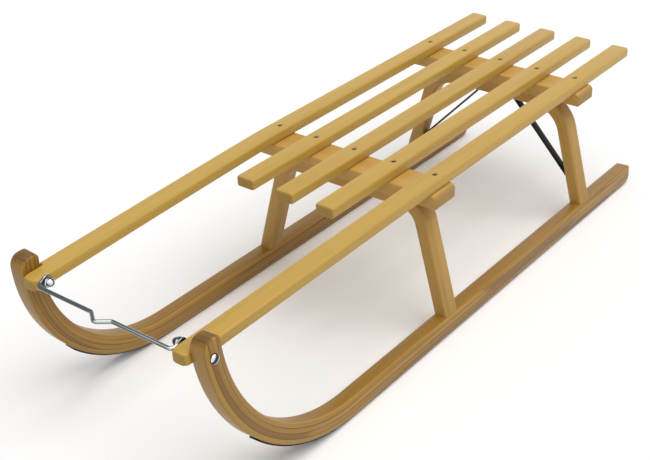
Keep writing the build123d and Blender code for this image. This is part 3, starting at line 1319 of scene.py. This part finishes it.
@dataclass
class TowGear:
    """The round tow bar with its rope notch, and the bolts and cap nuts that hold it."""

    bolt_y: float = -0.527
    bolt_z: float = 0.23644
    eye_x: float = 0.11717
    head_x: float = 0.16885
    span_lead: float = 0.0155
    rod: float = 0.0058
    bend_radius: float = 0.005
    arc_step: float = math.radians(9.0)
    notch_half: float = 0.018
    notch_depth: float = 0.0135
    arm_end: float = 0.006
    eye_radius: float = 0.0084
    eye_thickness: float = 0.003
    eye_chamfer: float = 0.0005
    flat_reach: float = 0.006
    flat_height: float = 0.0085
    flat_onset: float = 1.4
    flat_cuts: int = 4
    bolt_radius: float = 0.0035
    head_radius: float = 0.00725
    head_height: float = 0.004
    head_rim: float = 0.2
    nut_flats: float = 0.0132
    nut_height: float = 0.012
    nut_round: float = 0.0007
    hexagon_share: float = 0.42
    nut_dome_share: float = 0.46
    dome_root: float = 0.001

    @property
    def arm_x(self) -> float:
        """Place of the rod's arms, flush with the outer faces of the eyes."""
        return self.eye_x + (self.eye_thickness - self.rod) / 2

    def on_bolt(self, side: Side, distance: float, heading: int = 1) -> Matrix:
        """A place on a bolt's axis, off the sled's middle, that points out (1) or in (-1)."""
        place = Matrix.Translation((side.value * distance, self.bolt_y, self.bolt_z))
        return place @ Matrix.Diagonal((side.value * heading, 1.0, 1.0, 1.0))

    def bar_path(self) -> BentPath:
        """The bar's line seen from above, from the left arm round to the right one.

        Returns:
            The path.
        """
        slope = math.atan2(self.notch_depth, self.notch_half)
        short = self.bend_radius * math.tan(slope / 2)
        flank = math.hypot(self.notch_half, self.notch_depth)
        side = Stretch(flank - short - self.bend_radius * math.tan(slope))
        arm = Stretch(self.span_lead - self.arm_end - self.bend_radius)
        corner = Stretch(self.bend_radius * QUARTER, QUARTER)
        span = Stretch(self.arm_x - self.bend_radius - self.notch_half - short)
        outward = Stretch(self.bend_radius * slope, -slope)
        tip = Stretch(self.bend_radius * 2 * slope, 2 * slope)
        half = (arm, corner, span, outward, side)
        start = (-self.arm_x, self.bolt_y - self.arm_end)
        return BentPath(start, -QUARTER, (*half, tip, *half[::-1]))

    def bent_bar(self) -> Mesh:
        """Shape the tow bar.

        Returns:
            The bent rod with its two eyes.
        """
        path = self.bar_path()
        bar = bmesh.new()
        place = Matrix.Translation((0.0, path.length / 2, 0.0)) @ Matrix.Rotation(QUARTER, 4, "X")
        bmesh.ops.create_cone(
            bar, cap_ends=True, segments=20, radius1=self.rod / 2, radius2=self.rod / 2,
            depth=path.length, matrix=place,
        )
        count = self.flat_cuts
        ends = [self.flat_reach * step / count for step in range(1, count + 1)]
        far_ends = [path.length - end for end in ends]
        cut(bar, path.stations(self.arc_step) + ends + far_ends)
        for vertex in bar.verts:
            aside, along, level = vertex.co
            near_end = 1.0 - min(along, path.length - along) / self.flat_reach
            flat = min(1.0, max(0.0, near_end * self.flat_onset))
            thinner = 1.0 - flat * (1.0 - self.eye_thickness / self.rod)
            taller = 1.0 + flat * (self.flat_height / self.rod - 1.0)
            offset = aside * thinner - flat * (self.eye_x - self.arm_x)
            vertex.co = (*path.place(along, offset), self.bolt_z + level * taller)
        half, rim = self.eye_thickness / 2, self.eye_radius - self.eye_chamfer
        edge = half - self.eye_chamfer
        eye = [
            (-half, self.bolt_radius), (-half, rim), (-edge, self.eye_radius),
            (edge, self.eye_radius), (half, rim), (half, self.bolt_radius),
            (-half, self.bolt_radius),
        ]
        for side in Side:
            turn_on(bar, eye, self.on_bolt(side, self.eye_x), strips=36)
        return bar

    def domed_bolt(self, side: Side) -> Mesh:
        """Shape one bolt, its head outside the horn.

        Args:
            side: which bolt.

        Returns:
            The bolt.
        """
        end = self.eye_x - self.eye_thickness / 2 - self.nut_height / 2 - self.head_x
        shank = [(end, 0.0), (end, self.bolt_radius), (0.0, self.bolt_radius)]
        rim = self.head_rim * self.head_height
        head = dome(rim, self.head_height - rim, self.head_radius, strips=10)
        bolt = bmesh.new()
        profile = [*shank, (0.0, self.head_radius), *head]
        turn_on(bolt, profile, self.on_bolt(side, self.head_x), strips=40)
        return bolt

    def cap_nut(self, side: Side) -> Mesh:
        """Shape one domed cap nut, on the inner face of its eye.

        Args:
            side: which nut.

        Returns:
            The nut.
        """
        hexagon = self.nut_height * self.hexagon_share
        radius = self.nut_flats / math.sqrt(3.0)
        nut = bmesh.new()
        bmesh.ops.create_cone(
            nut, cap_ends=True, segments=6, radius1=radius, radius2=radius, depth=hexagon,
        )
        round_edges(nut, list(nut.edges), self.nut_round, strips=2)
        face_x = self.eye_x - self.eye_thickness / 2
        middle = (side.value * (face_x - hexagon / 2), self.bolt_y, self.bolt_z)
        place = Matrix.Translation(middle) @ Matrix.Rotation(QUARTER, 4, "Y")
        bmesh.ops.transform(nut, verts=nut.verts, matrix=place)
        base, root = self.nut_flats * self.nut_dome_share, hexagon - self.dome_root
        cap = dome(hexagon, self.nut_height - hexagon, base, strips=10)
        profile = [(root, 0.0), (root, base), *cap]
        turn_on(nut, profile, self.on_bolt(side, face_x, heading=-1), strips=40)
        return nut

    def build(self) -> Iterator[Piece]:
        """Make the tow bar, and on each side its bolt and its nut.

        Returns:
            The pieces, one by one.
        """
        yield link_piece(self.bent_bar(), "tow_bar_rod", "tow_bar", BRIGHT_STEEL)
        for side in Side:
            for kind, mesh in (("tow_bolt", self.domed_bolt), ("cap_nut", self.cap_nut)):
                name = f"{kind}_{side.word}"
                yield link_piece(mesh(side), f"{name}_turned", name, CHROMED_STEEL)


@dataclass
class SeatScrews:
    """Two rows of five countersunk cross-head screws."""

    rows: tuple[tuple[str, float], ...] = (
        ("front_seat_screws", FRONT_ROW), ("rear_seat_screws", REAR_ROW),
    )
    steps: tuple[int, ...] = (-2, -1, 0, 1, 2)
    # Each screw stops at its own angle: the first turn, and more for a step and for a row.
    turns: Triple = (0.7, 0.9, 7.0)
    recess: float = 0.0015
    head_radius: float = 0.0043
    shank_radius: float = 0.00225
    length: float = 0.034
    cross_half: float = 0.0007
    cross_reach: float = 0.0026
    cross_depth: float = 0.0012

    def row_of_screws(self, row_y: float) -> Mesh:
        """Shape one row, each screw driven to its own angle.

        Args:
            row_y: the row's place along the sled.

        Returns:
            The row.
        """
        row = bmesh.new()
        cone = self.head_radius - self.shank_radius
        shank = self.length - self.recess - cone
        for step in self.steps:
            place = Vector((step * PITCH, row_y, SEAT_TOP - self.recess))
            before = set(row.verts)
            bmesh.ops.create_cone(
                row, cap_ends=True, segments=24, depth=cone,
                radius1=self.shank_radius, radius2=self.head_radius,
            )
            self.cut_cross(row, cone / 2)
            first, by_step, by_row = self.turns
            turn = Matrix.Rotation(first + by_step * step + by_row * row_y, 4, "Z")
            head = Matrix.Translation(place - Vector((0.0, 0.0, cone / 2))) @ turn
            bmesh.ops.transform(row, verts=newer(row, before), matrix=head)
            bmesh.ops.create_cone(
                row, cap_ends=True, segments=16, depth=shank,
                radius1=self.shank_radius, radius2=self.shank_radius,
                matrix=Matrix.Translation(place - Vector((0.0, 0.0, cone + shank / 2))),
            )
        return row

    def cut_cross(self, row: Mesh, top: float) -> None:
        """Sink a cross into the flat top of the head that is still at the origin.

        Args:
            row: the screws so far.
            top: height of that head's top.
        """
        lines = (-self.cross_reach, -self.cross_half, self.cross_half, self.cross_reach)
        for station in lines:
            for normal in (Vector((1.0, 0.0, 0.0)), Vector((0.0, 1.0, 0.0))):
                faces = self.top_faces(row, top)
                edges = list(dict.fromkeys(edge for face in faces for edge in face.edges))
                bmesh.ops.bisect_plane(
                    row, geom=faces + edges, dist=TINY, plane_co=normal * station,
                    plane_no=normal,
                )
        cross = []
        for face in self.top_faces(row, top):
            near, far = sorted(abs(number) for number in face.calc_center_median().xy)
            if near < self.cross_half and far < self.cross_reach:
                cross.append(face)
        sunk = bmesh.ops.extrude_face_region(row, geom=cross)["geom"]
        bmesh.ops.delete(row, geom=cross, context="FACES_ONLY")
        floor = [item for item in sunk if isinstance(item, bmesh.types.BMVert)]
        bmesh.ops.translate(row, verts=floor, vec=(0.0, 0.0, -self.cross_depth))

    def top_faces(self, row: Mesh, top: float) -> list[bmesh.types.BMFace]:
        """The faces at one height."""
        return [face for face in row.faces if abs(face.calc_center_median().z - top) < TINY]

    def build(self) -> Iterator[Piece]:
        """Make both rows.

        Returns:
            The rows, one by one.
        """
        for name, row_y in self.rows:
            row = self.row_of_screws(row_y)
            yield link_piece(row, f"{name}_cross_head", name, SHADED_DARK_STEEL)


@dataclass
class Studio:
    """Plain pale floor, soft light and the camera."""

    camera_place: Triple = (0.9873, -1.352, 1.0723)
    yaw: float = math.radians(38.35)
    pitch: float = math.radians(-30.11)
    roll: float = math.radians(-1.53)
    focal_pixels: float = 1242.5
    picture_width: float = 650.0
    sensor_width: float = 36.0
    clip_end: float = 100.0
    floor_half: float = 12.0
    floor_tone: float = 0.8
    floor_shown: float = 1.02
    sky_level: float = 0.36
    sun_level: float = 2.15
    sun_spread: float = math.radians(60.0)
    sun_slant: float = math.radians(18.5)

    def set_up(self) -> None:
        """Lay the floor, hang the light and place the camera."""
        bpy.context.scene.view_settings.view_transform = "Standard"
        self.place_camera()
        self.light()
        self.lay_floor()

    def link(self, name: str, data: bpy.types.ID) -> bpy.types.Object:
        """Put a camera, a lamp or a mesh into the scene.

        Args:
            name: the object's name.
            data: what it shows.

        Returns:
            The new object.
        """
        placed = bpy.data.objects.new(name, data)
        bpy.context.scene.collection.objects.link(placed)
        return placed

    def place_camera(self) -> None:
        """Set the camera at the photograph's place and angle."""
        data = bpy.data.cameras.new("camera")
        data.sensor_width = self.sensor_width
        data.lens = self.focal_pixels / self.picture_width * data.sensor_width
        data.clip_end = self.clip_end
        camera = self.link("camera", data)
        level = math.cos(self.pitch)
        ahead = Vector((
            -math.sin(self.yaw) * level, math.cos(self.yaw) * level, math.sin(self.pitch),
        ))
        right = ahead.cross(Vector((0.0, 0.0, 1.0))).normalized()
        upward = right.cross(ahead)
        turned_right = right * math.cos(self.roll) + upward * math.sin(self.roll)
        turned_up = upward * math.cos(self.roll) - right * math.sin(self.roll)
        turn = Matrix((turned_right, turned_up, -ahead)).transposed()
        camera.matrix_world = Matrix.Translation(self.camera_place) @ turn.to_4x4()
        bpy.context.scene.camera = camera

    def by_ray(self, sheet: NodeSheet, lit: float, shown: float) -> Socket:
        """One level that lights the sled, and another that camera, gloss and glass see.

        Args:
            sheet: the node sheet of the world or of a material.
            lit: the level for the light.
            shown: the level that is seen.

        Returns:
            The level's socket.
        """
        path = sheet.add("LightPath", {}).outputs
        rays = (path[f"Is {kind} Ray"] for kind in ("Camera", "Glossy", "Transmission"))
        return sheet.ramp(sheet.math("MAXIMUM", *rays), 0.0, 1.0, lit, shown)

    def light(self) -> None:
        """Light the sled softly from above, with a white backdrop."""
        world = bpy.data.worlds.new("studio")
        world.use_nodes = True
        bpy.context.scene.world = world
        sheet = NodeSheet(world.node_tree)
        sheet.feed(world.node_tree.nodes["Background"], {
            "Color": WHITE, "Strength": self.by_ray(sheet, self.sky_level, 1.0),
        })
        data = bpy.data.lights.new("key", "SUN")
        data.energy = self.sun_level
        data.angle = self.sun_spread
        self.link("key", data).rotation_euler = (0.0, self.sun_slant, 0.0)

    def lay_floor(self) -> None:
        """Lay the pale floor, which keeps the sled's shadow."""
        plane = bmesh.new()
        bmesh.ops.create_grid(plane, x_segments=1, y_segments=1, size=self.floor_half)
        data = bpy.data.meshes.new("floor")
        plane.to_mesh(data)
        plane.free()
        material = bpy.data.materials.new("pale_floor")
        material.use_nodes = True
        nodes = material.node_tree.nodes
        nodes.remove(nodes["Principled BSDF"])
        sheet = NodeSheet(material.node_tree)
        level = self.by_ray(sheet, self.floor_tone, self.floor_shown)
        tone = sheet.add("CombineColor", {0: level, 1: level, 2: level}).outputs[0]
        pale = sheet.add("BsdfDiffuse", {"Color": tone}).outputs[0]
        sheet.feed(nodes["Material Output"], {"Surface": pale})
        data.materials.append(material)
        self.link("floor", data)


def main() -> None:
    """Build the sub-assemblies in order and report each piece."""
    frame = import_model()
    Studio().set_up()
    runners, bows = Runners(), Bows()
    runners.dress_shoes(frame["nodes"])
    wooden = (runners, SeatBoards(runners), Crossbars(), bows)
    for assembly in (*wooden, Braces(bows), TowGear(), SeatScrews()):
        for piece in assembly.build():
            LOG.info("%s: %d faces", piece.name, len(piece.data.polygons))


if __name__ == "__main__":
    logging.basicConfig(level=logging.INFO)
    main()
